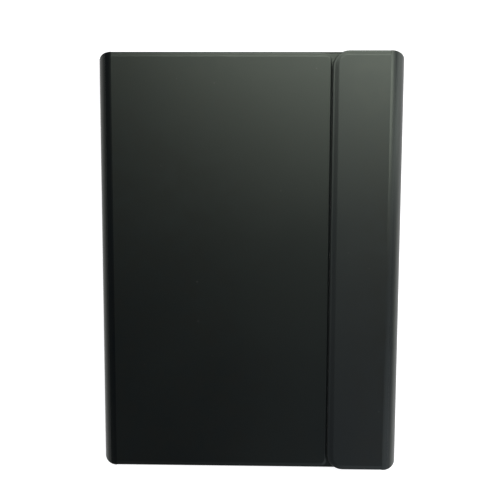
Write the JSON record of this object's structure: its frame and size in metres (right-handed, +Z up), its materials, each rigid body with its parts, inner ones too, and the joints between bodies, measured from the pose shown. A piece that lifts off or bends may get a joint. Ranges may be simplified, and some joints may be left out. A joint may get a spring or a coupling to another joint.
{
  "type": "tablet keyboard case",
  "caption": "Slim folio for a tablet: a hinged front cover with a built-in keyboard, a tray that holds the tablet, a fold-out stand and a magnetic closing flap that wraps over the front.",
  "frame": {"origin": "middle of the footprint, on the surface that the closed folio lies on", "axes": "+X from the spine to the flap's fold, +Y along the long side, towards the end with the camera window, +Z up through the stack, from the back to the flap"},
  "size_m": [0.187, 0.2604, 0.0229],
  "materials": {
    "cover_leather": "matt black polyurethane leather with a fine grain",
    "board": "stiffening board",
    "lining": "dark grey microfibre",
    "adhesive": "bonding sheet",
    "tray_plastic": "soft-touch black moulding",
    "trim_plastic": "gloss black ring",
    "steel": "satin steel",
    "magnet": "nickel plated magnet",
    "keyboard_plastic": "fine-textured black moulding",
    "aluminium": "pressed sheet",
    "film": "printed film",
    "silicone": "translucent silicone",
    "link_plastic": "natural moulded plastic",
    "circuit": "green circuit board",
    "battery_foil": "foil pouch",
    "light_pipe": "clear light pipe",
    "touchpad_glass": "satin black touch surface",
    "switch_plastic": "grey switch",
    "key_plastic": "black cap with a pale legend"
  },
  "bodies": {
    "back": {"back_skin": "cover_leather", "back_board": "board", "back_lining": "lining", "anchor_strip": "cover_leather", "tray_adhesive": "adhesive", "tablet_tray": "tray_plastic", "camera_trim": "trim_plastic", "stand_keepers": "steel", "back_hinge_leaves": "steel", "stand_hinge_pins": "steel", "spine_back_crease": "cover_leather", "edge_back_crease": "cover_leather"},
    "stand": {"stand_skin": "cover_leather", "stand_board": "board", "stand_lining": "lining", "stand_magnets": "magnet", "stand_hinge_leaves": "steel"},
    "spine": {"spine_board": "board", "spine_skin": "cover_leather"},
    "front_cover": {"spine_front_crease": "cover_leather", "front_skin": "cover_leather", "front_board": "board", "front_lining": "lining", "closing_plate": "steel", "keyboard_adhesive": "adhesive", "keyboard_base": "keyboard_plastic", "keyboard_deck": "keyboard_plastic", "support_plate": "aluminium", "membrane_sheet": "film", "rubber_domes": "silicone", "scissor_links": "link_plastic", "controller_board": "circuit", "battery": "battery_foil", "charging_port": "steel", "indicator_lights": "light_pipe", "screen_bumpers": "silicone", "keyboard_screws": "steel"},
    "touchpad": {"touchpad": "touchpad_glass"},
    "power_switch": {"power_switch": "switch_plastic"},
    "edge": {"edge_board": "board", "edge_skin": "cover_leather"},
    "flap": {"edge_flap_crease": "cover_leather", "flap_skin": "cover_leather", "flap_board": "board", "flap_lining": "lining", "flap_magnets": "magnet"},
    "function_keys": {"function_keys": "key_plastic"},
    "number_keys": {"number_keys": "key_plastic"},
    "backspace_key": {"backspace_key": "key_plastic"},
    "tab_key": {"tab_key": "key_plastic"},
    "upper_letter_keys": {"upper_letter_keys": "key_plastic"},
    "caps_lock_key": {"caps_lock_key": "key_plastic"},
    "home_letter_keys": {"home_letter_keys": "key_plastic"},
    "enter_key": {"enter_key": "key_plastic"},
    "left_shift_key": {"left_shift_key": "key_plastic"},
    "lower_letter_keys": {"lower_letter_keys": "key_plastic"},
    "right_shift_key": {"right_shift_key": "key_plastic"},
    "modifier_keys": {"modifier_keys": "key_plastic"},
    "space_bar": {"space_bar": "key_plastic"},
    "arrow_keys": {"arrow_keys": "key_plastic"}
  },
  "joints": [
    {"name": "spine_fold", "type": "hinge", "parent": "back", "child": "spine", "pos_m": [-0.09152, 0, 0.00198], "axis": [0, -1, 0], "range_deg": [0, 90], "deforming": ["spine_back_crease"]},
    {"name": "cover_fold", "type": "hinge", "parent": "spine", "child": "front_cover", "pos_m": [-0.09116, 0, 0.01841], "axis": [0, -1, 0], "range_deg": [0, 90], "deforming": ["spine_front_crease"]},
    {"name": "edge_fold", "type": "hinge", "parent": "back", "child": "edge", "pos_m": [0.09152, 0, 0.00198], "axis": [0, 1, 0], "range_deg": [0, 90], "deforming": ["edge_back_crease"]},
    {"name": "flap_fold", "type": "hinge", "parent": "edge", "child": "flap", "pos_m": [0.09103, 0, 0.02048], "axis": [0, 1, 0], "range_deg": [0, 90], "deforming": ["edge_flap_crease"]},
    {"name": "stand_hinge", "type": "hinge", "parent": "back", "child": "stand", "pos_m": [0.008, 0, 0.0012], "axis": [0, -1, 0], "range_deg": [0, 120]},
    {"name": "touchpad_click", "type": "slide", "parent": "front_cover", "child": "touchpad", "axis": [0, 0, 1], "range_m": [0, 0.0004], "stiffness_N_per_m": 1200},
    {"name": "power_switch_slide", "type": "slide", "parent": "front_cover", "child": "power_switch", "axis": [1, 0, 0], "range_m": [0, 0.003]},
    {"name": "function_keys_press", "type": "slide", "parent": "front_cover", "child": "function_keys", "axis": [0, 0, 1], "range_m": [0, 0.0013], "stiffness_N_per_m": 400, "deforming": ["rubber_domes", "scissor_links"]},
    {"name": "number_keys_press", "type": "slide", "parent": "front_cover", "child": "number_keys", "axis": [0, 0, 1], "range_m": [0, 0.0013], "stiffness_N_per_m": 400, "deforming": ["rubber_domes", "scissor_links"]},
    {"name": "backspace_key_press", "type": "slide", "parent": "front_cover", "child": "backspace_key", "axis": [0, 0, 1], "range_m": [0, 0.0013], "stiffness_N_per_m": 400, "deforming": ["rubber_domes", "scissor_links"]},
    {"name": "tab_key_press", "type": "slide", "parent": "front_cover", "child": "tab_key", "axis": [0, 0, 1], "range_m": [0, 0.0013], "stiffness_N_per_m": 400, "deforming": ["rubber_domes", "scissor_links"]},
    {"name": "upper_letter_keys_press", "type": "slide", "parent": "front_cover", "child": "upper_letter_keys", "axis": [0, 0, 1], "range_m": [0, 0.0013], "stiffness_N_per_m": 400, "deforming": ["rubber_domes", "scissor_links"]},
    {"name": "caps_lock_key_press", "type": "slide", "parent": "front_cover", "child": "caps_lock_key", "axis": [0, 0, 1], "range_m": [0, 0.0013], "stiffness_N_per_m": 400, "deforming": ["rubber_domes", "scissor_links"]},
    {"name": "home_letter_keys_press", "type": "slide", "parent": "front_cover", "child": "home_letter_keys", "axis": [0, 0, 1], "range_m": [0, 0.0013], "stiffness_N_per_m": 400, "deforming": ["rubber_domes", "scissor_links"]},
    {"name": "enter_key_press", "type": "slide", "parent": "front_cover", "child": "enter_key", "axis": [0, 0, 1], "range_m": [0, 0.0013], "stiffness_N_per_m": 400, "deforming": ["rubber_domes", "scissor_links"]},
    {"name": "left_shift_key_press", "type": "slide", "parent": "front_cover", "child": "left_shift_key", "axis": [0, 0, 1], "range_m": [0, 0.0013], "stiffness_N_per_m": 400, "deforming": ["rubber_domes", "scissor_links"]},
    {"name": "lower_letter_keys_press", "type": "slide", "parent": "front_cover", "child": "lower_letter_keys", "axis": [0, 0, 1], "range_m": [0, 0.0013], "stiffness_N_per_m": 400, "deforming": ["rubber_domes", "scissor_links"]},
    {"name": "right_shift_key_press", "type": "slide", "parent": "front_cover", "child": "right_shift_key", "axis": [0, 0, 1], "range_m": [0, 0.0013], "stiffness_N_per_m": 400, "deforming": ["rubber_domes", "scissor_links"]},
    {"name": "modifier_keys_press", "type": "slide", "parent": "front_cover", "child": "modifier_keys", "axis": [0, 0, 1], "range_m": [0, 0.0013], "stiffness_N_per_m": 400, "deforming": ["rubber_domes", "scissor_links"]},
    {"name": "space_bar_press", "type": "slide", "parent": "front_cover", "child": "space_bar", "axis": [0, 0, 1], "range_m": [0, 0.0013], "stiffness_N_per_m": 400, "deforming": ["rubber_domes", "scissor_links"]},
    {"name": "arrow_keys_press", "type": "slide", "parent": "front_cover", "child": "arrow_keys", "axis": [0, 0, 1], "range_m": [0, 0.0013], "stiffness_N_per_m": 400, "deforming": ["rubber_domes", "scissor_links"]}
  ]
}
